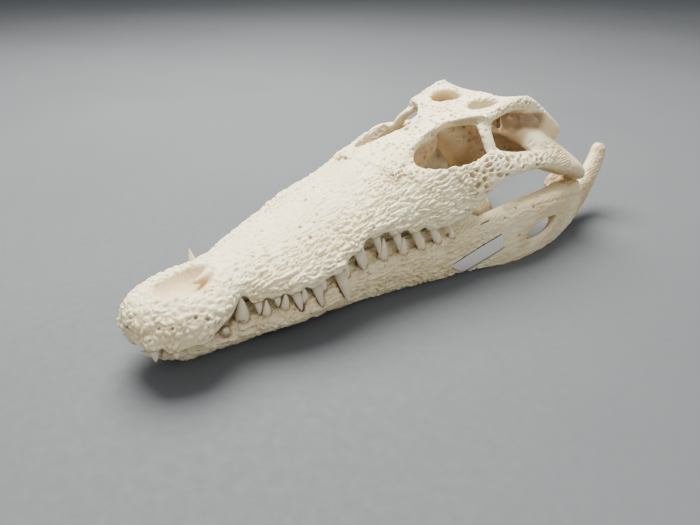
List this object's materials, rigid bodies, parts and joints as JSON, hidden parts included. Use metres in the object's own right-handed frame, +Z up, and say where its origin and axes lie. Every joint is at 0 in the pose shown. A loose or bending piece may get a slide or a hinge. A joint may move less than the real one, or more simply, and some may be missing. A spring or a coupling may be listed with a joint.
{
  "type": "crocodile skull",
  "caption": "Still, life-size crocodile skull with its lower jaw closed: long snout, open orbits, flat skull table and interlocking conical teeth, resting on its jaw.",
  "frame": {"origin": "middle of the footprint, on the surface that the lower jaw rests on", "axes": "-Y towards the snout tip, +X towards the animal's left side, +Z up"},
  "size_m": [0.1226, 0.3142, 0.0819],
  "materials": {
    "bone": "dry ivory-white bone, matt, faintly stained brown in the pits",
    "rear_bone": "dry bone, slightly yellower, smoother, matt"
  },
  "bodies": {
    "root": {"snout": "bone", "forehead": "bone", "palate": "bone", "skull_table": "bone", "braincase": "bone", "quadrate_left": "rear_bone", "cheek_left": "bone", "quadrate_right": "rear_bone", "cheek_right": "bone", "dentary_left": "bone", "dentary_right": "bone", "jaw_rear_left": "rear_bone", "jaw_rear_right": "rear_bone"}
  },
  "joints": []
}
